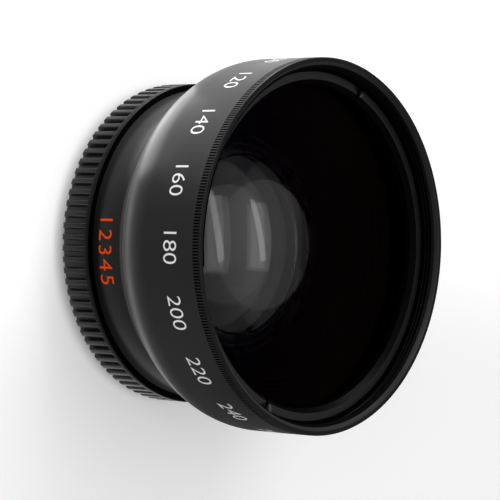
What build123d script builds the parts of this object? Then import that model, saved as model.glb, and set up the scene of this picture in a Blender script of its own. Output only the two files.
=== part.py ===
"""Wide-angle conversion lens with a close-up section, standing on its rear thread.

All sizes are millimetres. Z is the optical axis: the camera side is at Z = 0 and the
scene side is at the top. The wide section screws into the ribbed close-up section.
"""
from math import acos, cos, sin
import os

from build123d import *

# Threads and fits; the camera thread's radius sets every other radius
mount_thread_radius = 26.0
thread_pitch = 0.75
thread_height = 0.54 * thread_pitch
thread_clearance = 0.05
thread_relief = 0.3
glass_clearance = 0.1
edge_break = 0.25

# Close-up section, seen from outside
rear_thread_length = 1.9
grip_length = 6.5
grip_wall = 2.45
grip_rear_round = 0.7
rib_count = 90
rib_width = 0.95
rib_depth = 0.8
grip_lip_width = 1.0

# Close-up section, inside
collar_wall = 3.4
close_up_seat_thickness = 1.25
close_up_seat_width = 1.3
close_up_glass_bulge = 2.2
close_up_ring_recess = 1.15
close_up_ring_thickness = 1.5
close_up_ring_width = 1.8

# Wide section, seen from outside
wide_length = 29.5
filter_thread_flare = 5.0
rim_wall = 1.4
lip_width = 1.26
band_length = 12.2
shoulder_radius = 12.2
neck_fillet = 2.5
neck_wall = 1.3

# Screw joint between the two sections
joint_thread_length = 2.2
joint_end_gap = 0.3
joint_thread_wall = 3.35

# Front ring, behind the filter thread
ring_recess = 2.9
front_ring_bore_step = 0.4
front_ring_thickness = 2.0
front_ring_width = 2.2
front_ring_face_width = 1.3
front_ring_bevel = 0.15
front_ring_funnel = 0.9

# Front glass and its seat
front_glass_bore_step = 0.6
front_glass_edge = 8.0
front_glass_dip = 0.04
front_seat_width = 3.6
cone_clearance = 0.4
bowl_wall = 5.5
bowl_rim_width = 2.0
bowl_depth = 8.6

# Baffle steps between the two glasses of the wide section
baffle_steps = 4
baffle_depth = 4.75

# Inner glass of the wide section, its seat and its ring
inner_glass_bore_step = 0.5
inner_seat_thickness = 1.5
inner_seat_width = 3.0
inner_glass_edge = 1.5
inner_glass_front_bulge = 3.4
inner_glass_rear_bulge = 2.0
inner_ring_recess = 2.9
inner_ring_thickness = 2.0
inner_ring_width = 2.2

# Spanner slots of the three screwed rings
slot_width = 1.0
slot_depth = 1.0
slot_angle = 156.5


def spanner_slots(face_plane, inner_radius, outer_radius):
    """Outlines of the two slots across a screwed ring, on the plane of its face."""
    with BuildSketch(face_plane) as slots:
        with PolarLocations((inner_radius + outer_radius) / 2, 2, start_angle=slot_angle):
            Rectangle(outer_radius - inner_radius, slot_width)
    return slots.sketch


# Heights of the main faces
grip_rear_z = rear_thread_length
grip_front_z = grip_rear_z + grip_length
front_z = grip_front_z + wide_length

# Outer radii
filter_thread_radius = mount_thread_radius + filter_thread_flare
rim_radius = filter_thread_radius + rim_wall
neck_radius = mount_thread_radius + neck_wall
grip_radius = mount_thread_radius + grip_wall
joint_thread_radius = mount_thread_radius - thread_clearance

# Bores that threads and glasses share
filter_bore_radius = filter_thread_radius - thread_height
front_ring_bore = filter_bore_radius - front_ring_bore_step
front_glass_bore = front_ring_bore - front_glass_bore_step
inner_thread_bore = joint_thread_radius - joint_thread_wall
inner_glass_bore = inner_thread_bore - inner_glass_bore_step
close_up_glass_bore = mount_thread_radius - collar_wall

os.makedirs("parts", exist_ok=True)

# Close-up housing: a ribbed ring with a socket in front and the camera thread behind
socket_floor_z = grip_front_z - joint_thread_length - joint_end_gap
close_up_seat_z = socket_floor_z - close_up_seat_thickness
close_up_aperture = close_up_glass_bore - close_up_seat_width

with BuildPart() as macro_housing:
    with BuildSketch(Plane.XZ):
        with BuildLine():
            Polyline(
                (close_up_glass_bore, 0),
                (mount_thread_radius - edge_break, 0),
                (mount_thread_radius, edge_break),
                (mount_thread_radius, grip_rear_z),
                (grip_radius, grip_rear_z),
                (grip_radius, grip_front_z),
                (mount_thread_radius, grip_front_z),
                (mount_thread_radius, socket_floor_z),
                (close_up_aperture, socket_floor_z),
                (close_up_aperture, close_up_seat_z),
                (close_up_glass_bore, close_up_seat_z),
                close=True,
            )
        make_face()
    revolve(axis=Axis.Z)
    outer_edges = macro_housing.edges().filter_by(GeomType.CIRCLE)
    grip_edges = outer_edges.group_by(SortBy.RADIUS)[-1].sort_by(Axis.Z)
    fillet(grip_edges[0], radius=grip_rear_round)
    chamfer(grip_edges[-1], length=edge_break)
    with BuildSketch(Plane.XY.offset(grip_rear_z)):
        Circle(grip_radius + rib_depth)
        Circle(grip_radius - rib_depth, mode=Mode.SUBTRACT)
        with PolarLocations(grip_radius, rib_count):
            Rectangle(4 * rib_depth, rib_width, mode=Mode.SUBTRACT)
    extrude(amount=grip_length - grip_lip_width, mode=Mode.SUBTRACT)
macro_housing.part.label = "macro_housing"
export_step(macro_housing.part, "parts/macro_housing.step")

# Close-up glass: a positive lens, domed towards the wide section and flat behind
close_up_glass_radius = close_up_glass_bore - glass_clearance
close_up_glass_rear_z = close_up_ring_recess + close_up_ring_thickness
close_up_clear_radius = close_up_aperture - glass_clearance

with BuildPart() as macro_element:
    with BuildSketch(Plane.XZ):
        with BuildLine():
            Polyline(
                (0, close_up_glass_rear_z),
                (close_up_glass_radius, close_up_glass_rear_z),
                (close_up_glass_radius, close_up_seat_z),
                (close_up_clear_radius, close_up_seat_z),
            )
            dome = TangentArc(
                (0, close_up_seat_z + close_up_glass_bulge),
                (close_up_clear_radius, close_up_seat_z),
                tangent=(1, 0),
            )
            Line(dome @ 0, (0, close_up_glass_rear_z))
        make_face()
    revolve(axis=Axis.Z)
macro_element.part.label = "macro_element"
export_step(macro_element.part, "parts/macro_element.step")

# Close-up retaining ring: screwed in from behind, its slots face the camera
close_up_ring_outer = close_up_glass_bore - thread_clearance
close_up_ring_inner = close_up_ring_outer - close_up_ring_width

with BuildPart() as macro_retaining_ring:
    with BuildSketch(Plane.XY.offset(close_up_ring_recess)):
        Circle(close_up_ring_outer)
        Circle(close_up_ring_inner, mode=Mode.SUBTRACT)
    extrude(amount=close_up_ring_thickness)
    ring_circles = macro_retaining_ring.edges().filter_by(GeomType.CIRCLE)
    chamfer(ring_circles.group_by(Axis.Z)[0].sort_by(SortBy.RADIUS)[0], length=edge_break)
    rear_slots = spanner_slots(
        Plane.XY.offset(close_up_ring_recess), close_up_ring_inner, close_up_ring_outer
    )
    extrude(rear_slots, amount=slot_depth, mode=Mode.SUBTRACT)
macro_retaining_ring.part.label = "macro_retaining_ring"
export_step(macro_retaining_ring.part, "parts/macro_retaining_ring.step")

# Front housing: one turned barrel with the rim, the shoulder, the neck and its thread
joint_thread_end_z = grip_front_z - joint_thread_length
shoulder_z = front_z - band_length
shoulder_turn = acos(1 - (rim_radius - neck_radius) / (shoulder_radius + neck_fillet))
turn_radius = rim_radius - shoulder_radius * (1 - cos(shoulder_turn))
turn_z = shoulder_z - shoulder_radius * sin(shoulder_turn)
neck_top_z = shoulder_z - (shoulder_radius + neck_fillet) * sin(shoulder_turn)
lip_inner_radius = rim_radius - lip_width
mouth_chamfer = lip_inner_radius - filter_bore_radius
front_ring_z = front_z - ring_recess
front_glass_flat_z = front_ring_z - front_ring_thickness
front_seat_z = front_glass_flat_z - front_glass_edge
front_seat_radius = front_glass_bore - front_seat_width
inner_ring_rear_z = joint_thread_end_z + inner_ring_recess
inner_glass_rear_z = inner_ring_rear_z + inner_ring_thickness
inner_thread_top_z = inner_glass_rear_z + thread_relief
inner_seat_z = inner_glass_rear_z + inner_glass_edge
inner_seat_radius = inner_glass_bore - inner_seat_width
baffle_end_z = inner_seat_z + inner_seat_thickness
bowl_rim_z = baffle_end_z + baffle_depth
baffle_line = [(front_seat_radius, front_seat_z)]
for step in range(1, baffle_steps + 1):
    step_z = bowl_rim_z - step * baffle_depth / baffle_steps
    step_radius = front_seat_radius - step * (front_seat_radius - inner_seat_radius) / baffle_steps
    baffle_line.append((baffle_line[-1][0], step_z))
    baffle_line.append((step_radius, step_z))

with BuildPart() as front_housing:
    with BuildSketch(Plane.XZ):
        with BuildLine():
            Line((rim_radius, front_z), (rim_radius, shoulder_z))
            shoulder = TangentArc(
                (rim_radius, shoulder_z), (turn_radius, turn_z), tangent=(0, -1)
            )
            hollow = TangentArc(
                (turn_radius, turn_z), (neck_radius, neck_top_z), tangent=shoulder % 1
            )
            Polyline(
                hollow @ 1,
                (neck_radius, grip_front_z),
                (joint_thread_radius, grip_front_z),
                (joint_thread_radius, joint_thread_end_z),
                (inner_thread_bore, joint_thread_end_z),
                (inner_thread_bore, inner_thread_top_z),
                (inner_glass_bore, inner_thread_top_z),
                (inner_glass_bore, inner_seat_z),
                (inner_seat_radius, inner_seat_z),
            )
            Line((inner_seat_radius, inner_seat_z), (inner_seat_radius, baffle_end_z))
            Polyline(*baffle_line)
            Polyline(
                (front_seat_radius, front_seat_z),
                (front_glass_bore, front_seat_z),
                (front_glass_bore, front_glass_flat_z - thread_relief),
                (front_ring_bore, front_glass_flat_z - thread_relief),
                (front_ring_bore, front_ring_z),
                (filter_bore_radius, front_ring_z),
                (filter_bore_radius, front_z - mouth_chamfer),
                (lip_inner_radius, front_z),
                (rim_radius, front_z),
            )
        make_face()
    revolve(axis=Axis.Z)
    housing_circles = front_housing.edges().filter_by(GeomType.CIRCLE)
    rim_edge = housing_circles.group_by(Axis.Z)[-1].sort_by(SortBy.RADIUS)[-1]
    chamfer(rim_edge, length=edge_break)
front_housing.part.label = "front_housing"
export_step(front_housing.part, "parts/front_housing.step")

# Front glass: a thick meniscus, gently curved in front and hollowed to a deep bowl behind
front_glass_radius = front_glass_bore - glass_clearance
front_ring_outer = front_ring_bore - thread_clearance
front_ring_inner = front_ring_outer - front_ring_width
front_glass_clear_radius = front_ring_inner - glass_clearance
front_apex_z = front_ring_z - front_glass_dip
cone_radius = front_seat_radius - cone_clearance
bowl_radius = front_seat_radius - bowl_wall

with BuildPart() as front_element:
    with BuildSketch(Plane.XZ):
        with BuildLine():
            crown = TangentArc(
                (0, front_apex_z), (front_glass_clear_radius, front_glass_flat_z), tangent=(1, 0)
            )
            Polyline(
                crown @ 1,
                (front_glass_radius, front_glass_flat_z),
                (front_glass_radius, front_seat_z),
                (cone_radius, front_seat_z),
                (bowl_radius + bowl_rim_width, bowl_rim_z),
                (bowl_radius, bowl_rim_z),
            )
            bowl = TangentArc(
                (0, bowl_rim_z + bowl_depth), (bowl_radius, bowl_rim_z), tangent=(1, 0)
            )
            Line(bowl @ 0, crown @ 0)
        make_face()
    revolve(axis=Axis.Z)
front_element.part.label = "front_element"
export_step(front_element.part, "parts/front_element.step")

# Front retaining ring: screwed in behind the filter thread, with a bevelled flat face
front_ring_face_outer = front_ring_outer - front_ring_bevel
front_ring_face_inner = front_ring_face_outer - front_ring_face_width

with BuildPart() as front_retaining_ring:
    with BuildSketch(Plane.XZ):
        with BuildLine():
            Polyline(
                (front_ring_inner, front_glass_flat_z),
                (front_ring_outer, front_glass_flat_z),
                (front_ring_outer, front_ring_z - front_ring_bevel),
                (front_ring_face_outer, front_ring_z),
                (front_ring_face_inner, front_ring_z),
                (front_ring_inner, front_ring_z - front_ring_funnel),
                close=True,
            )
        make_face()
    revolve(axis=Axis.Z)
    front_slots = spanner_slots(
        Plane.XY.offset(front_ring_z),
        front_ring_inner - edge_break,
        front_ring_outer + edge_break,
    )
    extrude(front_slots, amount=-slot_depth, mode=Mode.SUBTRACT)
front_retaining_ring.part.label = "front_retaining_ring"
export_step(front_retaining_ring.part, "parts/front_retaining_ring.step")

# Inner glass: a positive lens, domed on both sides
inner_glass_radius = inner_glass_bore - glass_clearance
inner_ring_outer = inner_thread_bore - thread_clearance
inner_ring_inner = inner_ring_outer - inner_ring_width
inner_front_clear_radius = inner_seat_radius - glass_clearance
inner_rear_clear_radius = inner_ring_inner - glass_clearance

with BuildPart() as inner_element:
    with BuildSketch(Plane.XZ):
        with BuildLine():
            front_dome = TangentArc(
                (0, inner_seat_z + inner_glass_front_bulge),
                (inner_front_clear_radius, inner_seat_z),
                tangent=(1, 0),
            )
            Polyline(
                front_dome @ 1,
                (inner_glass_radius, inner_seat_z),
                (inner_glass_radius, inner_glass_rear_z),
                (inner_rear_clear_radius, inner_glass_rear_z),
            )
            rear_dome = TangentArc(
                (0, inner_glass_rear_z - inner_glass_rear_bulge),
                (inner_rear_clear_radius, inner_glass_rear_z),
                tangent=(1, 0),
            )
            Line(rear_dome @ 0, front_dome @ 0)
        make_face()
    revolve(axis=Axis.Z)
inner_element.part.label = "inner_element"
export_step(inner_element.part, "parts/inner_element.step")

# Inner retaining ring: screwed in from the neck's end against the inner glass
with BuildPart() as inner_retaining_ring:
    with BuildSketch(Plane.XY.offset(inner_ring_rear_z)):
        Circle(inner_ring_outer)
        Circle(inner_ring_inner, mode=Mode.SUBTRACT)
    extrude(amount=inner_ring_thickness)
    inner_slots = spanner_slots(
        Plane.XY.offset(inner_ring_rear_z), inner_ring_inner, inner_ring_outer
    )
    extrude(inner_slots, amount=slot_depth, mode=Mode.SUBTRACT)
inner_retaining_ring.part.label = "inner_retaining_ring"
export_step(inner_retaining_ring.part, "parts/inner_retaining_ring.step")
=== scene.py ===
"""Looks of the wide-angle conversion lens: metal, glass, ribs, knurl, threads, printed dials."""
import math

import bmesh
import bpy
from mathutils import Matrix, Vector


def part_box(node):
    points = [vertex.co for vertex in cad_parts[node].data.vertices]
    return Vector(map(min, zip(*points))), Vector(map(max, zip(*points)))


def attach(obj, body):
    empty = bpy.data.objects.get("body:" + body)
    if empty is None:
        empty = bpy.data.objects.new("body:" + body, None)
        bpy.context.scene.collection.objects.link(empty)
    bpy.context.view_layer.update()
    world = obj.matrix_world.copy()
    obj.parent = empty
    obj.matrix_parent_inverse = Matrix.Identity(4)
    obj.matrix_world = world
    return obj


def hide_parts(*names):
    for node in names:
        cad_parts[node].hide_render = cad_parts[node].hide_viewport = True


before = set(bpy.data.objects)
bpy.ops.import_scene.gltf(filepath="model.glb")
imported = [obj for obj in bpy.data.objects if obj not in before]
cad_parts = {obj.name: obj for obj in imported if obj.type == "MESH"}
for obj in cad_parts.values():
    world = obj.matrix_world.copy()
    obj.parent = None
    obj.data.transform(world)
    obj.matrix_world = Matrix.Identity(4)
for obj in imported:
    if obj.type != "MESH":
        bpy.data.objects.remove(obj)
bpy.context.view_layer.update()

# The camera stands where the photograph's camera stood, in front of the rim and 41 degrees above
# it. It lies on its side, so the optical axis of the lens runs from left to right in the picture.
# Sizes of the lens are written in millimetres, and MM turns them into the scene's metres.
MM = 0.001
camera_place = Vector((-5.5055, -337.276, 316.658)) * MM
camera_aim = Vector((0.741, -10.963, 29.935)) * MM
camera_up = Vector((-0.999763, 0.0, -0.02178))
view_line = (camera_aim - camera_place).normalized()
view_right = view_line.cross(camera_up).normalized()
view_up = view_right.cross(view_line)
camera_data = bpy.data.cameras.new("camera")
camera_data.sensor_width = 36.0
camera_data.lens = 184.0
camera = bpy.data.objects.new("camera", camera_data)
camera.matrix_world = Matrix.Translation(camera_place) @ Matrix(
    (view_right, view_up, -view_line)
).transposed().to_4x4()
bpy.context.scene.collection.objects.link(camera)
bpy.context.scene.camera = camera


# Front barrel: one piece of aluminium turned on a lathe, bead blasted and dyed black.
# Its rim is knurled in front and threaded inside; the shoulder runs down to the neck, and
# baffle steps inside lead from the front glass to the inner one.
def add(tree, kind, settings=None, inputs=None):
    """A node with its settings; an input is a number, a colour or another node's output."""
    made = tree.nodes.new(kind)
    for key, value in (settings or {}).items():
        setattr(made, key, value)
    for key, value in (inputs or {}).items():
        if isinstance(value, bpy.types.NodeSocket):
            tree.links.new(value, made.inputs[key])
        else:
            made.inputs[key].default_value = value
    return made


def linear(hex_colour):
    """An sRGB hex colour as linear red, green, blue and alpha."""
    parts = [int(hex_colour[i : i + 2], 16) / 255 for i in (1, 3, 5)]
    return [p / 12.92 if p <= 0.04045 else ((p + 0.055) / 1.055) ** 2.4 for p in parts] + [1.0]


def empty_material(name):
    """A new material and its node tree, with no nodes in it yet."""
    made = bpy.data.materials.new(name)
    made.use_nodes = True
    made.node_tree.nodes.clear()
    return made, made.node_tree


def arc(centre, radius, start, end, steps):
    """Points (radius, height) on an arc of a profile, from one angle to another, in degrees."""
    turns = [math.radians(start + (end - start) * i / steps) for i in range(steps + 1)]
    return [(centre[0] + radius * math.cos(t), centre[1] + radius * math.sin(t)) for t in turns]


def turned(name, outline, steps, sectors=20, smooth_angle=30.0):
    """A solid of revolution. An outline point is (radius, height) in mm, or has a rounding as well.

    One sector is spun first, and its copies then close the circle.
    """
    bm = bmesh.new()
    points = [bm.verts.new((p[0] * MM, 0, p[1] * MM)) for p in outline]
    for one, other in zip(points, points[1:] + points[:1]):
        bm.edges.new((one, other))
    for point, place in zip(points, outline):
        if len(place) == 3:
            bmesh.ops.bevel(
                bm, geom=[point], offset=place[2] * MM, offset_type="OFFSET", segments=3,
                profile=0.5, affect="VERTICES", material=-1,
            )
    bmesh.ops.spin(
        bm, geom=bm.verts[:] + bm.edges[:], cent=(0, 0, 0), axis=(0, 0, 1),
        angle=math.tau / sectors, steps=steps // sectors,
    )
    bmesh.ops.spin(
        bm, geom=bm.verts[:] + bm.edges[:] + bm.faces[:], cent=(0, 0, 0), axis=(0, 0, 1),
        angle=math.tau * (sectors - 1) / sectors, steps=sectors - 1, use_duplicate=True,
    )
    bmesh.ops.remove_doubles(bm, verts=bm.verts, dist=0.001 * MM)
    bmesh.ops.recalc_face_normals(bm, faces=bm.faces)
    return finished(name, bm, smooth_angle)


def finished(name, bm, smooth_angle):
    """Puts a bmesh into the scene as an object at the origin, smooth but for its sharp edges."""
    mesh = bpy.data.meshes.new(name)
    bm.to_mesh(mesh)
    bm.free()
    mesh.shade_smooth()
    mesh.set_sharp_from_angle(angle=math.radians(smooth_angle))
    piece = bpy.data.objects.new(name, mesh)
    bpy.context.scene.collection.objects.link(piece)
    return piece


def anodised(name, dark, light, roughness, shine, bloom, grain_mm, grain_depth_mm):
    """Dyed anodised aluminium: a hard, dark, clear-topped oxide skin over blasted metal.

    The dye varies between two near-black colours with the grain, and the gloss drifts a little
    from place to place. The bloom is the pale edge that the blasted skin shows where the light
    grazes it. A real blasted grain is about 0.05 mm wide and too fine to show here, so it is
    drawn four or five times as coarse.
    """
    drift_mm = 6.0
    gloss_drift = 0.03
    made, tree = empty_material(name)
    place = add(tree, "ShaderNodeTexCoord")
    grain = add(tree, "ShaderNodeTexNoise", inputs={
        "Vector": place.outputs["Object"], "Scale": 1 / (grain_mm * MM), "Detail": 2.0})
    cloud = add(tree, "ShaderNodeTexNoise", inputs={
        "Vector": place.outputs["Object"], "Scale": 1 / (drift_mm * MM), "Detail": 3.0})
    rough = add(tree, "ShaderNodeMapRange", inputs={
        "Value": cloud.outputs["Fac"], "From Min": 0.3, "From Max": 0.7,
        "To Min": roughness - gloss_drift, "To Max": roughness + gloss_drift})
    tint = add(tree, "ShaderNodeMixRGB", inputs={
        "Fac": grain.outputs["Fac"], "Color1": linear(dark), "Color2": linear(light)})
    bump = add(tree, "ShaderNodeBump", inputs={
        "Height": grain.outputs["Fac"], "Distance": grain_depth_mm * MM, "Strength": 1.0})
    skin = add(tree, "ShaderNodeBsdfPrincipled", inputs={
        "Base Color": tint.outputs["Color"], "Roughness": rough.outputs["Result"],
        "Normal": bump.outputs["Normal"], "Metallic": 0.0, "IOR": 1.5,
        "Specular IOR Level": shine, "Sheen Weight": bloom, "Sheen Roughness": 0.5})
    add(tree, "ShaderNodeOutputMaterial", inputs={"Surface": skin.outputs["BSDF"]})
    return made


# Outside, from the rim over the shoulder to the neck and the joint.
front_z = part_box("front_housing")[1].z / MM
rim_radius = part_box("front_housing")[1].x / MM
barrel_end_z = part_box("front_housing")[0].z / MM
rim_edge = 0.1
knurl_front_z = front_z - 0.12
knurl_rear_z = front_z - 1.55
knurl_depth = 0.45
knurl_edge = 0.06
band_length = 12.2
shoulder_radius = 12.2
neck_fillet = 2.5
neck_radius = 27.3
neck_end_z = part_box("macro_housing")[1].z / MM
joint_crest_radius = 25.95
thread_height = 0.4

# Inside, from the lip over the filter thread and the front glass's seat to the inner glass.
lip_inner_radius = 31.14
lip_chamfer = 0.48
filter_root_radius = 31.0
thread_mouth = 0.14
ring_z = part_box("front_retaining_ring")[1].z / MM
ring_bore = 30.195
glass_flat_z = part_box("front_retaining_ring")[0].z / MM
ring_seat_z = glass_flat_z - 0.3
glass_bore = 29.595
front_seat_z = glass_flat_z - 8.0
front_seat_radius = 25.995
bowl_rim_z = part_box("front_element")[0].z / MM
baffle_steps = 4
baffle_end_z = 14.1
inner_seat_z = 12.6
inner_seat_radius = 19.1
inner_glass_bore = 22.1
inner_thread_bore = 22.6
inner_thread_top_z = 11.4

# How far the lathe tool breaks each kind of edge.
lip_rounding = 0.03
neck_rounding = 0.12
end_rounding = 0.15
bore_rounding = 0.1
seat_rounding = 0.05
baffle_rounding = 0.14

# The shoulder and the fillet above the neck are two arcs that meet at the same slope.
shoulder_z = front_z - band_length
shoulder_turn = math.acos(1 - (rim_radius - neck_radius) / (shoulder_radius + neck_fillet))
neck_top_z = shoulder_z - (shoulder_radius + neck_fillet) * math.sin(shoulder_turn)
shoulder_degrees = math.degrees(shoulder_turn)

barrel_outline = [
    (lip_inner_radius, front_z - lip_chamfer, lip_rounding),
    (lip_inner_radius + lip_chamfer, front_z, lip_rounding),
    (rim_radius - rim_edge, front_z, lip_rounding),
    (rim_radius - knurl_edge, knurl_front_z),
    (rim_radius - knurl_depth, knurl_front_z),
    (rim_radius - knurl_depth, knurl_rear_z),
    (rim_radius, knurl_rear_z),
]
barrel_outline += arc(
    (rim_radius - shoulder_radius, shoulder_z), shoulder_radius, 0, -shoulder_degrees, 20
)
barrel_outline += arc(
    (neck_radius + neck_fillet, neck_top_z), neck_fillet, 180 - shoulder_degrees, 180, 8
)[1:]
barrel_outline += [
    (neck_radius, neck_end_z, neck_rounding),
    (joint_crest_radius - thread_height, neck_end_z),
    (joint_crest_radius - thread_height, barrel_end_z, end_rounding),
    (inner_thread_bore, barrel_end_z, bore_rounding),
    (inner_thread_bore, inner_thread_top_z),
    (inner_glass_bore, inner_thread_top_z),
    (inner_glass_bore, inner_seat_z),
    (inner_seat_radius, inner_seat_z, seat_rounding),
    (inner_seat_radius, baffle_end_z, baffle_rounding),
]
baffle_width = (front_seat_radius - inner_seat_radius) / baffle_steps
baffle_height = (bowl_rim_z - baffle_end_z) / baffle_steps
for step in range(1, baffle_steps + 1):
    step_radius = inner_seat_radius + step * baffle_width
    barrel_outline.append((step_radius, baffle_end_z + (step - 1) * baffle_height))
    if step < baffle_steps:
        barrel_outline.append((step_radius, baffle_end_z + step * baffle_height, baffle_rounding))
barrel_outline += [
    (front_seat_radius, front_seat_z),
    (glass_bore, front_seat_z),
    (glass_bore, ring_seat_z),
    (ring_bore, ring_seat_z),
    (ring_bore, ring_z),
    (filter_root_radius, ring_z),
    (filter_root_radius, front_z - lip_chamfer - thread_mouth),
]
front_barrel = turned("front_barrel", barrel_outline, steps=320)

# Outside, bead blasting leaves a soft gloss, with a pale bloom towards the outline.
black_anodised = anodised(
    "black_anodised_aluminium", "#040404", "#080808", roughness=0.34, shine=0.38, bloom=0.13,
    grain_mm=0.25, grain_depth_mm=0.009,
)
# The baffles and the lip's face are turned smooth and not blasted: satin, with no bloom.
satin_inside = anodised(
    "satin_black_baffles", "#060606", "#0b0b0b", roughness=0.28, shine=0.35, bloom=0.0,
    grain_mm=0.25, grain_depth_mm=0.002,
)
# Painted shade: threads, narrow gaps and faces in recesses get this matt, near-black, almost
# glossless copy of the skin, as dark as the shade that falls there.
recess_shade_black = anodised(
    "matt_black_thread_painted_shade", "#010101", "#030303", roughness=0.4, shine=0.05, bloom=0.0,
    grain_mm=0.25, grain_depth_mm=0.002,
)
# Painted shade: the neck and its fillet get a duller copy of the barrel's skin, with less gloss and
# bloom, so they mirror less light, as if the grip ring shaded them.
neck_painted_shade = anodised(
    "black_anodised_neck_painted_shade", "#040404", "#080808", roughness=0.3, shine=0.26, bloom=0.09,
    grain_mm=0.25, grain_depth_mm=0.007,
)
for material in (black_anodised, satin_inside, recess_shade_black, neck_painted_shade):
    front_barrel.data.materials.append(material)
# The baffles and the lip's face are satin, and the threaded bore gets the near-black painted shade.
# The neck and its fillet have the neck's duller skin, which is painted shade as well.
# A face counts as there if it lies within these distances.
in_bore = 0.1
at_face = 0.05
at_neck = 0.3
for face in front_barrel.data.polygons:
    distance = math.hypot(face.center.x, face.center.y) / MM
    height = face.center.z / MM
    if distance < front_seat_radius + in_bore and inner_seat_z - in_bore < height < front_seat_z:
        face.material_index = 1
    elif height > front_z - at_face and distance < rim_radius - at_face:
        face.material_index = 1
    elif distance < filter_root_radius + at_face and height > front_seat_z:
        face.material_index = 2
    elif distance < neck_radius + at_neck and height < neck_top_z + neck_fillet:
        face.material_index = 3
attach(front_barrel, "wide_section")
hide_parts("front_housing")


# Knurl on the rim: 400 straight teeth rolled into the barrel's front edge, for a grip.
# The teeth are of the barrel's own dyed metal and catch the light; the gaps get near-black painted
# shade.
def cut_teeth(piece, section, count, radius, inner_radius, low_z, high_z):
    """Moves the points of a turned ring onto one tooth's section, repeated round the ring.

    A corner of the section is its offset along the ring and its depth below the tooth's top, in
    mm. Only points outside the inner radius and between the two heights go down to that depth.
    """
    corners = count * len(section)
    for vertex in piece.data.vertices:
        x, y, z = vertex.co
        distance = math.hypot(x, y)
        index = round(math.atan2(y, x) * corners / math.tau) % corners
        tooth, corner = divmod(index, len(section))
        offset, depth = section[corner]
        angle = math.tau * tooth / count + offset / radius
        if low_z < z / MM < high_z and distance / MM > inner_radius:
            distance = min(distance, (radius - depth) * MM)
        vertex.co.x = distance * math.cos(angle)
        vertex.co.y = distance * math.sin(angle)


knurl_teeth = 400
knurl_pitch = math.tau * rim_radius / knurl_teeth
# The ring of teeth is sunk into the barrel, and the teeth slope up over the run at its ends.
knurl_sunk = 0.1
knurl_run = 0.14
# Points this close to the outside belong to teeth, and faces this deep lie in a gap, which gets
# painted shade.
knurl_skin = 0.01
gap_depth = 0.08
# One tooth and the gap beside it: a flat top, steep sides and a flat bottom.
tooth_section = [
    (0.0, 0.0), (0.44 * knurl_pitch, 0.0),
    (0.52 * knurl_pitch, knurl_depth), (0.92 * knurl_pitch, knurl_depth),
]
knurl_outline = [
    (rim_radius - knurl_depth - knurl_sunk, knurl_front_z),
    (rim_radius - knurl_edge, knurl_front_z),
    (rim_radius, knurl_front_z - knurl_edge),
    (rim_radius, knurl_front_z - knurl_run),
    (rim_radius, knurl_rear_z + knurl_run),
    (rim_radius, knurl_rear_z),
    (rim_radius - knurl_depth - knurl_sunk, knurl_rear_z),
]
knurled_rim = turned("knurled_rim", knurl_outline, steps=knurl_teeth * len(tooth_section))
cut_teeth(
    knurled_rim, tooth_section, knurl_teeth, rim_radius, rim_radius - knurl_skin,
    knurl_rear_z + knurl_run / 2, knurl_front_z - knurl_run / 2,
)
knurled_rim.data.set_sharp_from_angle(angle=math.radians(25))
knurled_rim.data.materials.append(black_anodised)
knurled_rim.data.materials.append(recess_shade_black)
for face in knurled_rim.data.polygons:
    if math.hypot(face.center.x, face.center.y) / MM < rim_radius - gap_depth:
        face.material_index = 1
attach(knurled_rim, "wide_section")


# Filter thread in the rim: a 60 degree thread with a pitch of 0.75 mm, cut on the lathe in the
# barrel's own metal. It is modelled as its helical ridge, which runs out into the wall.
thread_pitch = 0.75


def thread_ridge(name, root_radius, crest_radius, low_z, high_z, material, body):
    """The helical ridge of a thread, standing on a bore or on a shaft of the root radius.

    Its section is a triangle with a flat crest. The foot is sunk a tenth of the thread's depth
    into the wall, and each end rises from the wall over a quarter of a turn.
    """
    steps_per_turn = 180
    crest_width = 0.12 * thread_pitch
    root_width = 0.9 * thread_pitch
    least_rise = 0.02
    depth = crest_radius - root_radius
    sunk_radius = root_radius - 0.1 * depth
    turns = (high_z - low_z - root_width) / thread_pitch
    steps = round(turns * steps_per_turn)
    bm = bmesh.new()
    corners = [
        (sunk_radius, low_z), (sunk_radius, low_z + root_width),
        (crest_radius, low_z + (root_width + crest_width) / 2),
        (crest_radius, low_z + (root_width - crest_width) / 2),
    ]
    start = bm.faces.new([bm.verts.new((r * MM, 0, z * MM)) for r, z in corners])
    bmesh.ops.spin(
        bm, geom=[start], cent=(0, 0, 0), axis=(0, 0, 1), angle=math.tau * turns,
        dvec=(0, 0, turns * thread_pitch * MM / steps), steps=steps,
    )
    for vertex in bm.verts:
        distance = math.hypot(vertex.co.x, vertex.co.y)
        height = vertex.co.z / MM - low_z - root_width / 2
        rise = min(1.0, 4 * min(height, turns * thread_pitch - height) / thread_pitch)
        on_crest = abs(distance / MM - crest_radius) < 0.3 * abs(depth)
        if on_crest:
            wanted = root_radius + depth * max(rise, least_rise)
            vertex.co.x *= wanted * MM / distance
            vertex.co.y *= wanted * MM / distance
    bmesh.ops.recalc_face_normals(bm, faces=bm.faces)
    ridge = finished(name, bm, smooth_angle=30.0)
    ridge.data.materials.append(material)
    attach(ridge, body)


# A ridge starts or ends this far from the face beside it.
thread_gap = 0.1
filter_crest_radius = 30.595
filter_top_z = front_z - 0.25
# The ridge takes the near-black painted shade of the threaded bore.
thread_ridge(
    "filter_thread", filter_root_radius, filter_crest_radius, ring_z - thread_gap,
    filter_top_z, recess_shade_black, "wide_section",
)


# Joint thread at the neck's end: a short outside thread cut in the barrel's own metal, which
# screws into the close-up ring. It shows only when the two sections are unscrewed.
thread_ridge(
    "joint_thread", joint_crest_radius - thread_height, joint_crest_radius,
    barrel_end_z + thread_gap, neck_end_z, black_anodised, "wide_section",
)


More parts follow.
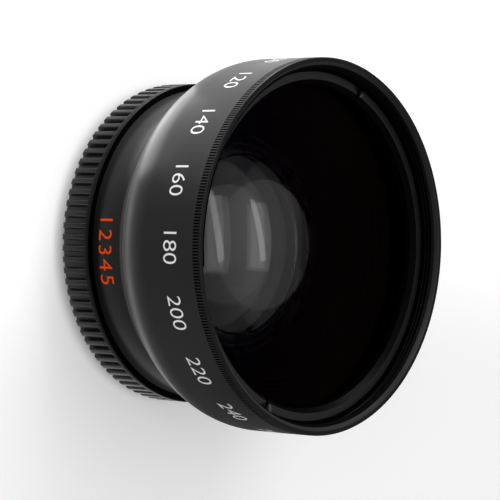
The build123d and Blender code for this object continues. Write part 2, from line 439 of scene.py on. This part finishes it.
# Screwed retaining rings: turned aluminium, dyed black, with a satin face and two spanner slots.
# One holds the front glass from the front; the inner and the close-up glass each have one behind.
def smooth_copy(node, name, material, body):
    """A copy of a node's mesh with its loose triangles joined and its round faces smooth."""
    bm = bmesh.new()
    bm.from_mesh(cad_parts[node].data)
    bmesh.ops.remove_doubles(bm, verts=bm.verts, dist=0.001 * MM)
    copy = finished(name, bm, smooth_angle=20.0)
    copy.data.materials.append(material)
    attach(copy, body)
    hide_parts(node)
    return copy


# Finely turned and dyed, not blasted: a satin face with broad, soft highlights.
satin_ring = anodised(
    "satin_anodised_ring", "#0b0b0b", "#0f0f0f", roughness=0.42, shine=0.6, bloom=0.0,
    grain_mm=0.2, grain_depth_mm=0.003,
)
front_ring = smooth_copy(
    "front_retaining_ring", "front_ring", satin_ring, "wide_section"
)
# Its slope inside the flat face, down to the glass, gets the same near-black painted shade as the
# threads.
slope_radius = 28.88
front_ring.data.materials.append(recess_shade_black)
for face in front_ring.data.polygons:
    if math.hypot(face.center.x, face.center.y) / MM < slope_radius:
        face.material_index = 1
smooth_copy("inner_retaining_ring", "inner_ring", satin_ring, "wide_section")
smooth_copy("macro_retaining_ring", "close_up_ring", satin_ring, "close_up_section")


# Front glass: a thick meniscus of optical glass, ground and polished, 59 mm across.
# Its front has a dark anti-reflection coating, the bowl behind is bare, and its ground edge
# is painted matt black, so it shows nothing but black outside the bowl.
def optical_glass(name, coating_nm, left_over):
    """Polished crown glass, clear and sharp, with a coating of that thickness or none.

    The coating's index is the root of the glass's, so it cancels most of one colour's reflection.
    A coating of more layers cancels more, so the left-over colour dims what one layer leaves.
    """
    made, tree = empty_material(name)
    glass = add(tree, "ShaderNodeBsdfPrincipled", inputs={
        "Base Color": linear("#ffffff"), "Roughness": 0.0, "IOR": 1.52,
        "Transmission Weight": 1.0, "Thin Film Thickness": coating_nm, "Thin Film IOR": 1.233,
        "Specular Tint": linear(left_over)})
    add(tree, "ShaderNodeOutputMaterial", inputs={"Surface": glass.outputs["BSDF"]})
    return made


def matt_paint(name, colour, thin_colour):
    """Matt black lacquer brushed on ground glass. It swallows what reaches it and has no gloss.

    The brush leaves it thicker and thinner over about 0.5 mm.
    """
    brush_mm = 0.5
    made, tree = empty_material(name)
    place = add(tree, "ShaderNodeTexCoord")
    brush = add(tree, "ShaderNodeTexNoise", inputs={
        "Vector": place.outputs["Object"], "Scale": 1 / (brush_mm * MM), "Detail": 2.0})
    tint = add(tree, "ShaderNodeMixRGB", inputs={
        "Fac": brush.outputs["Fac"], "Color1": linear(colour), "Color2": linear(thin_colour)})
    paint = add(tree, "ShaderNodeBsdfPrincipled", inputs={
        "Base Color": tint.outputs["Color"], "Roughness": 0.8, "Specular IOR Level": 0.0})
    add(tree, "ShaderNodeOutputMaterial", inputs={"Surface": paint.outputs["BSDF"]})
    return made


# 131 nm is a quarter of red light's wave in the coating: black at a slant, deep blue head on.
coated_glass = optical_glass("coated_optical_glass", coating_nm=131.0, left_over="#b4b4b4")
bare_glass = optical_glass("bare_optical_glass", coating_nm=0.0, left_over="#ffffff")
edge_paint = matt_paint("matt_black_edge_paint", "#0e0e0e", "#040404")


def dome(centre_z, edge_z, edge_radius, steps=40):
    """Points of a spherical surface, from its middle on the axis out to its edge."""
    rise = centre_z - edge_z
    curve = (edge_radius**2 + rise**2) / (2 * abs(rise))
    side = math.copysign(1, rise)
    spread = math.asin(edge_radius / curve)
    angles = [spread * i / steps for i in range(steps + 1)]
    return [(curve * math.sin(a), centre_z - side * curve * (1 - math.cos(a))) for a in angles]


def lens(name, front, edge, rear, materials, body, node):
    """A round glass from the points of its front surface, its edge and its rear surface.

    The materials are those of the front, the rear and the ground edge. A face belongs to the
    front or the rear by the way it looks and by its place within that surface.
    """
    piece = turned(name, front + edge + rear[::-1], steps=256, sectors=16, smooth_angle=25.0)
    for material in materials:
        piece.data.materials.append(material)
    front_radius, front_edge_z = front[-1]
    rear_radius, rear_edge_z = rear[-1]
    middle_z = (front_edge_z + rear_edge_z) / 2
    least_up = 0.3
    least_down = 0.2
    for face in piece.data.polygons:
        distance = math.hypot(face.center.x, face.center.y) / MM
        up = face.normal.z
        if face.center.z / MM > middle_z and up > least_up and distance < front_radius:
            face.material_index = 0
        elif up < -least_down and distance < rear_radius:
            face.material_index = 1
        else:
            face.material_index = 2
    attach(piece, body)
    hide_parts(node)


front_apex_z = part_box("front_element")[1].z / MM
front_glass_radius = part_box("front_element")[1].x / MM
front_clear_radius = 27.845
glass_rounding = 0.1
bowl_radius = 20.495
bowl_apex_z = bowl_rim_z + 8.6
bowl_land = 0.6
# Behind the seat the edge is ground in four steps, down to a narrow land round the bowl.
ground_radius = 25.595
step_count = 4
step_slope = 0.35
step_rounding = 0.12
step_width = (ground_radius - bowl_radius - 2 * bowl_land) / step_count
step_height = (front_seat_z - bowl_rim_z) / step_count
ground_steps = [(ground_radius, front_seat_z)]
for step in range(1, step_count + 1):
    step_radius = ground_radius - step * step_width
    step_z = front_seat_z - step * step_height
    ground_steps += [
        (step_radius + step_width - step_slope, step_z, step_rounding), (step_radius, step_z)
    ]
lens(
    "front_glass",
    dome(front_apex_z, glass_flat_z, front_clear_radius),
    [
        (front_glass_radius, glass_flat_z, glass_rounding),
        (front_glass_radius, front_seat_z, glass_rounding),
    ] + ground_steps + [(bowl_radius + bowl_land, bowl_rim_z)],
    dome(bowl_apex_z, bowl_rim_z, bowl_radius),
    (coated_glass, bare_glass, edge_paint), "wide_glass", "front_element",
)


# Inner glass: a smaller positive lens, domed on both sides, ground, polished and left bare.
# It is seated against the last baffle and held by its own screwed ring.
inner_glass_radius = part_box("inner_element")[1].x / MM
inner_front_apex_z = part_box("inner_element")[1].z / MM
inner_rear_apex_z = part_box("inner_element")[0].z / MM
inner_rear_z = 11.1
inner_ring_inner = 20.35
seat_land = 0.1
lens(
    "inner_glass",
    dome(inner_front_apex_z, inner_seat_z, inner_seat_radius - seat_land),
    [
        (inner_glass_radius, inner_seat_z, glass_rounding),
        (inner_glass_radius, inner_rear_z, glass_rounding),
    ],
    dome(inner_rear_apex_z, inner_rear_z, inner_ring_inner - seat_land),
    (bare_glass, bare_glass, edge_paint), "wide_glass", "inner_element",
)


# Close-up glass: a positive lens, domed in front and flat behind, ground and polished.
# It drops into the ribbed ring from the camera side, where its screwed ring holds it.
close_up_glass_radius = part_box("macro_element")[1].x / MM
close_up_apex_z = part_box("macro_element")[1].z / MM
close_up_rear_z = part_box("macro_element")[0].z / MM
close_up_seat_z = 4.65
close_up_aperture = 21.3
close_up_rear_aperture = 20.65
lens(
    "close_up_glass",
    dome(close_up_apex_z, close_up_seat_z, close_up_aperture - seat_land),
    [
        (close_up_glass_radius, close_up_seat_z, glass_rounding),
        (close_up_glass_radius, close_up_rear_z, glass_rounding),
    ],
    [(0, close_up_rear_z), (close_up_rear_aperture, close_up_rear_z)],
    (bare_glass, bare_glass, edge_paint), "close_up_section", "macro_element",
)


# Ribbed ring of the close-up section: turned aluminium with 90 ribs milled along its length,
# dyed black. A plain lip closes the ribs in front, and the camera thread stands out behind.
grip_rear_z = 1.9
grip_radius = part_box("macro_housing")[1].x / MM
grip_rounding = 0.7
grip_lip_rounding = 0.2
camera_crest_radius = 26.0
camera_root_radius = camera_crest_radius - thread_height
close_up_glass_bore = 22.6
socket_crest_radius = 26.0
socket_root_radius = socket_crest_radius + 0.35
socket_floor_z = 5.9
rib_count = 90
rib_depth = 0.8
rib_foot = 0.4
rib_front_z = neck_end_z - 1.0
rib_end = 0.05
# Points this close to the outside, in front of this height, belong to ribs.
rib_skin = 0.75
rib_rear_z = grip_rear_z - 0.01
# Faces this deep in the front part get painted shade.
shade_depth = 0.25

ribbed_outline = [
    (close_up_glass_bore, 0, bore_rounding),
    (camera_root_radius, 0, end_rounding),
    (camera_root_radius, grip_rear_z),
    (grip_radius - rib_depth - rib_foot, grip_rear_z),
]
ribbed_outline += arc(
    (grip_radius - grip_rounding, grip_rear_z + grip_rounding), grip_rounding, -90, 0, 6
)
ribbed_outline += [
    (grip_radius, rib_front_z - rib_end),
    (grip_radius, rib_front_z),
    (grip_radius, neck_end_z, grip_lip_rounding),
    (socket_root_radius, neck_end_z),
    (socket_root_radius, socket_floor_z),
    (close_up_aperture, socket_floor_z, bore_rounding),
    (close_up_aperture, close_up_seat_z),
    (close_up_glass_bore, close_up_seat_z),
]
# One rib and the gap beside it: a flat top, rounded edges, steep sides and a hollow bottom.
rib_section = [
    (-0.46, 0.10), (-0.38, 0.02), (-0.30, 0.0), (0.0, 0.0), (0.30, 0.0), (0.38, 0.02),
    (0.46, 0.10), (0.52, 0.62), (0.62, 0.78), (0.99, rib_depth), (1.36, 0.78), (1.46, 0.62),
]
ribbed_ring = turned(
    "ribbed_ring", ribbed_outline, steps=rib_count * len(rib_section), sectors=18
)
cut_teeth(
    ribbed_ring, rib_section, rib_count, grip_radius, grip_radius - rib_skin,
    rib_rear_z, rib_front_z - rib_end / 2,
)
ribbed_ring.data.set_sharp_from_angle(angle=math.radians(40))
# Milled and then dyed with hardly any blasting: a close satin black with little bloom.
black_grip = anodised(
    "black_anodised_grip", "#060606", "#0b0b0b", roughness=0.34, shine=0.21, bloom=0.03,
    grain_mm=0.2, grain_depth_mm=0.004,
)
ribbed_ring.data.materials.append(black_grip)
ribbed_ring.data.materials.append(recess_shade_black)
# Painted shade: the socket and the front ends of the gaps between the ribs get the near-black copy,
# as dark as the threads.
for face in ribbed_ring.data.polygons:
    distance = math.hypot(face.center.x, face.center.y) / MM
    if distance < grip_radius - shade_depth and face.center.z / MM > socket_floor_z:
        face.material_index = 1
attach(ribbed_ring, "close_up_section")
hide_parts("macro_housing")


# Camera thread behind the ribs, and the joint's inside thread in the socket in front of them.
# Both are cut in the ribbed ring's own metal, with the filter thread's pitch.
thread_ridge(
    "camera_thread", camera_root_radius, camera_crest_radius, thread_gap, grip_rear_z,
    black_grip, "close_up_section",
)
thread_ridge(
    "socket_thread", socket_root_radius, socket_crest_radius, socket_floor_z + thread_gap,
    neck_end_z - thread_gap, black_grip, "close_up_section",
)


# Printed dials: plain numbers in screen-printed ink, white round the band behind the knurl
# and orange on the neck. The tops of the figures point to the front.
def ink(name, colour):
    """Matt screen-printing ink: an even, opaque colour, whose gloss drifts over about 0.6 mm."""
    drift_mm = 0.6
    made, tree = empty_material(name)
    place = add(tree, "ShaderNodeTexCoord")
    cloud = add(tree, "ShaderNodeTexNoise", inputs={
        "Vector": place.outputs["Object"], "Scale": 1 / (drift_mm * MM), "Detail": 2.0})
    rough = add(tree, "ShaderNodeMapRange", inputs={
        "Value": cloud.outputs["Fac"], "To Min": 0.4, "To Max": 0.6})
    paint = add(tree, "ShaderNodeBsdfPrincipled", inputs={
        "Base Color": linear(colour), "Roughness": rough.outputs["Result"], "IOR": 1.5,
        "Specular IOR Level": 0.08})
    add(tree, "ShaderNodeOutputMaterial", inputs={"Surface": paint.outputs["BSDF"]})
    return made


def printed_numbers(name, labels, radius, middle_z, height, weight, colour):
    """Numbers wrapped round a barrel. A label is its angle in degrees and its text.

    The height is that of a figure, and a weight below zero makes the strokes thinner.
    """
    ink_depth = 0.02
    figure_share = 0.69
    bm = bmesh.new()
    for degrees, figures in labels:
        text = bpy.data.curves.new(name, "FONT")
        text.body = figures
        text.size = height / figure_share
        text.align_x = "CENTER"
        text.extrude = ink_depth
        text.offset = weight
        flat = bpy.data.meshes.new_from_object(bpy.data.objects.new(name, text))
        placed = len(bm.verts)
        bm.from_mesh(flat)
        for vertex in bm.verts[placed:]:
            angle = math.radians(degrees) + vertex.co.x / radius
            distance = (radius + vertex.co.z) * MM
            z = (middle_z - height / 2 + vertex.co.y) * MM
            vertex.co = (distance * math.cos(angle), distance * math.sin(angle), z)
    bmesh.ops.remove_doubles(bm, verts=bm.verts, dist=0.0005 * MM)
    numbers = finished(name, bm, smooth_angle=30.0)
    numbers.data.materials.append(ink(name + "_ink", colour))
    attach(numbers, "wide_section")


band_ink_z = front_z - 6.6
band_count = 18
band_middle = -90
band_step = 360 / band_count
printed_numbers(
    "band_numbers",
    [(band_middle + band_step * (i - 9), str(20 * i)) for i in range(1, band_count + 1)],
    rim_radius, band_ink_z, height=2.9, weight=-0.03, colour="#f4f4f4",
)
neck_ink_z = front_z - 26.4
neck_middle = -87.6
neck_step = 5.4
printed_numbers(
    "neck_numbers", [(neck_middle + neck_step * (i - 3), str(i)) for i in range(1, 6)],
    neck_radius, neck_ink_z, height=3.0, weight=-0.02, colour="#ee4e00",
)


# Floor: a wide round sheet of pale matt paper. It keeps the lens's shadow, and its white in the
# picture is a little glow that only the camera and the clear glass see. The black metal mirrors
# the studio round it, so in glossy rays alone the sheet stands for that studio, with painted glows
# and a painted shade.
white_floor, tree = empty_material("matt_white_floor")
path = add(tree, "ShaderNodeLightPath")
place = add(tree, "ShaderNodeTexCoord")
sides = add(tree, "ShaderNodeSeparateXYZ", inputs={"Vector": place.outputs["Object"]})
from_axis = add(tree, "ShaderNodeVectorMath", {"operation": "LENGTH"}, {
    0: place.outputs["Object"]})
# Painted shade: in glossy rays alone the paper is darker, darkest towards the lower right of the
# picture, and the lower and right parts of the barrel mirror that as dark.
across = add(tree, "ShaderNodeVectorMath", {"operation": "DOT_PRODUCT"}, {
    0: place.outputs["Object"], 1: (0.707, 0.707, 0.0)})
shaded = add(tree, "ShaderNodeMapRange", {"interpolation_type": "SMOOTHSTEP"}, {
    "Value": across.outputs["Value"], "From Min": 0.0, "From Max": 45 * MM,
    "To Min": 0.45, "To Max": 1.0})
painted_shade_in_gloss = add(tree, "ShaderNodeMath", {"operation": "MULTIPLY"}, {
    0: path.outputs["Is Glossy Ray"], 1: shaded.outputs["Result"]})
sheet = add(tree, "ShaderNodeMixRGB", inputs={
    "Fac": painted_shade_in_gloss.outputs["Value"], "Color1": linear("#e6e6e6"), "Color2": linear("#202020")})
paper = add(tree, "ShaderNodeBsdfDiffuse", inputs={"Color": sheet.outputs["Color"]})
# Painted reflection: beyond the side that is up in the picture, the paper glows in glossy rays
# alone, as a bright backdrop that no lamp gives.
painted_backdrop_glow = add(tree, "ShaderNodeMapRange", {"interpolation_type": "SMOOTHSTEP"}, {
    "Value": sides.outputs["X"], "From Min": -60 * MM, "From Max": -28 * MM,
    "To Min": 0.9, "To Max": 0.0})
# Painted highlight: a ring of paper close round the lens glows in glossy rays alone, though no lamp
# is there, and its mirror image is the band of light on the shoulder.
foot = add(tree, "ShaderNodeMapRange", {"interpolation_type": "SMOOTHSTEP"}, {
    "Value": from_axis.outputs["Value"], "From Min": 29 * MM, "From Max": 37 * MM,
    "To Min": 1.3, "To Max": 0.0})
mirrored = add(tree, "ShaderNodeMath", {"operation": "MAXIMUM"}, {
    0: painted_backdrop_glow.outputs["Result"], 1: foot.outputs["Result"]})
in_gloss = add(tree, "ShaderNodeMath", {"operation": "MULTIPLY"}, {
    0: path.outputs["Is Glossy Ray"], 1: mirrored.outputs["Value"]})
# The glow that lifts the paper to white, a little less on the side that is down in the picture.
seen = add(tree, "ShaderNodeMath", {"operation": "MAXIMUM"}, {
    0: path.outputs["Is Camera Ray"], 1: path.outputs["Is Transmission Ray"]})
lift = add(tree, "ShaderNodeMapRange", {"interpolation_type": "SMOOTHSTEP"}, {
    "Value": sides.outputs["X"], "From Min": -10 * MM, "From Max": 30 * MM,
    "To Min": 0.52, "To Max": 0.36})
in_view = add(tree, "ShaderNodeMath", {"operation": "MULTIPLY_ADD"}, {
    0: seen.outputs["Value"], 1: lift.outputs["Result"], 2: in_gloss.outputs["Value"]})
# Nothing glows under the lens itself, where it would show through the glasses.
uncovered = add(tree, "ShaderNodeMapRange", inputs={
    "Value": from_axis.outputs["Value"], "From Min": 25 * MM, "From Max": 29 * MM})
glow_amount = add(tree, "ShaderNodeMath", {"operation": "MULTIPLY"}, {
    0: in_view.outputs["Value"], 1: uncovered.outputs["Result"]})
glow = add(tree, "ShaderNodeEmission", inputs={
    "Color": linear("#ffffff"), "Strength": glow_amount.outputs["Value"]})
both = add(tree, "ShaderNodeAddShader", inputs={
    0: paper.outputs["BSDF"], 1: glow.outputs["Emission"]})
add(tree, "ShaderNodeOutputMaterial", inputs={"Surface": both.outputs["Shader"]})

bm = bmesh.new()
bmesh.ops.create_circle(bm, cap_ends=True, segments=96, radius=3.0)
floor = finished("floor", bm, smooth_angle=30.0)
floor.data.materials.append(white_floor)


# Surround: a white room for the camera. The light that it sends is plain and dim, and dimmer
# still from the right of the picture and from below it, which the metal mirrors as dark. The
# two edges are given as cosines of the angle from that side.
world = bpy.data.worlds.new("white_surround_dark_on_two_sides")
world.use_nodes = True
tree = world.node_tree
tree.nodes.clear()
path = add(tree, "ShaderNodeLightPath")
place = add(tree, "ShaderNodeTexCoord")
towards_right = add(tree, "ShaderNodeVectorMath", {"operation": "DOT_PRODUCT"}, {
    0: place.outputs["Generated"], 1: (0.0, 1.0, 0.0)})
right_side = add(tree, "ShaderNodeMapRange", {"interpolation_type": "SMOOTHSTEP"}, {
    "Value": towards_right.outputs["Value"], "From Min": 0.68, "From Max": 0.92,
    "To Min": 0.38, "To Max": 0.1})
towards_below = add(tree, "ShaderNodeVectorMath", {"operation": "DOT_PRODUCT"}, {
    0: place.outputs["Generated"], 1: (1.0, 0.0, 0.0)})
low_side = add(tree, "ShaderNodeMapRange", {"interpolation_type": "SMOOTHSTEP"}, {
    "Value": towards_below.outputs["Value"], "From Min": -0.3, "From Max": 0.5,
    "To Min": 0.38, "To Max": 0.25})
dim = add(tree, "ShaderNodeMath", {"operation": "MINIMUM"}, {
    0: right_side.outputs["Result"], 1: low_side.outputs["Result"]})
strength = add(tree, "ShaderNodeMath", {"operation": "MAXIMUM"}, {
    0: dim.outputs["Value"], 1: path.outputs["Is Camera Ray"]})
surround = add(tree, "ShaderNodeBackground", inputs={
    "Color": linear("#ffffff"), "Strength": strength.outputs["Value"]})
add(tree, "ShaderNodeOutputWorld", inputs={"Surface": surround.outputs["Background"]})
bpy.context.scene.world = world


# Lamps: rectangular softboxes. A wide one hangs over the front of the lens, with a brighter
# middle and one bright tube below it. The bowl of the front glass and the inner glass mirror
# them as two long streaks.
def soft_lamp(name, place, aim, size, power):
    """A rectangular softbox that faces a point, with its sizes in metres and its power in watts."""
    data = bpy.data.lights.new(name, "AREA")
    data.shape = "RECTANGLE"
    data.size = size[0]
    data.size_y = size[1]
    data.energy = power
    lamp = bpy.data.objects.new(name, data)
    lamp.location = place
    lamp.rotation_euler = (Vector(aim) - Vector(place)).to_track_quat("-Z", "Y").to_euler()
    bpy.context.scene.collection.objects.link(lamp)
    return lamp


panel_z = 0.6
lens_middle = (0, 0, 0.02)
soft_lamp(
    "softbox", place=(-0.12, -0.05, panel_z + 0.02), aim=(-0.12, -0.05, 0),
    size=(0.8, 0.32), power=0.5,
)
soft_lamp(
    "soft_middle", place=(-0.14, -0.06, panel_z + 0.01), aim=(-0.14, -0.06, 0),
    size=(0.76, 0.18), power=0.34,
)
tube = soft_lamp(
    "tube", place=(-0.22, -0.055, panel_z), aim=(-0.22, -0.055, 0), size=(0.76, 0.07), power=0.37
)
tube_turn = 10
tube.rotation_euler.rotate_axis("Z", math.radians(tube_turn))
# The key lamp lights the side that is up in the picture.
soft_lamp("key", place=(-0.58, 0.11, 0.08), aim=lens_middle, size=(0.3, 0.14), power=3.5)
# A small lamp lies beside the neck and shines up, for the upper end of the shoulder's highlight.
low_lamp = soft_lamp(
    "low_lamp", place=(-0.0284, -0.023, 0.0095), aim=(0, 0, 1), size=(0.013, 0.028), power=0.0032
)
low_lamp_turn = -141
low_lamp.rotation_euler = (math.pi, 0, math.radians(low_lamp_turn))
low_lamp.visible_camera = False
# A fill from the camera's side lights only ink and floor, and is mirrored in nothing.
fill = soft_lamp("fill", place=(-0.1, -0.6, 0.3), aim=lens_middle, size=(0.5, 0.5), power=1.3)
fill.visible_glossy = False
fill.visible_transmission = False
# Light that the glasses would gather into bright spots is left out, as it comes out as specks.
bpy.context.scene.cycles.caustics_refractive = False

bpy.context.scene.view_settings.view_transform = "Standard"
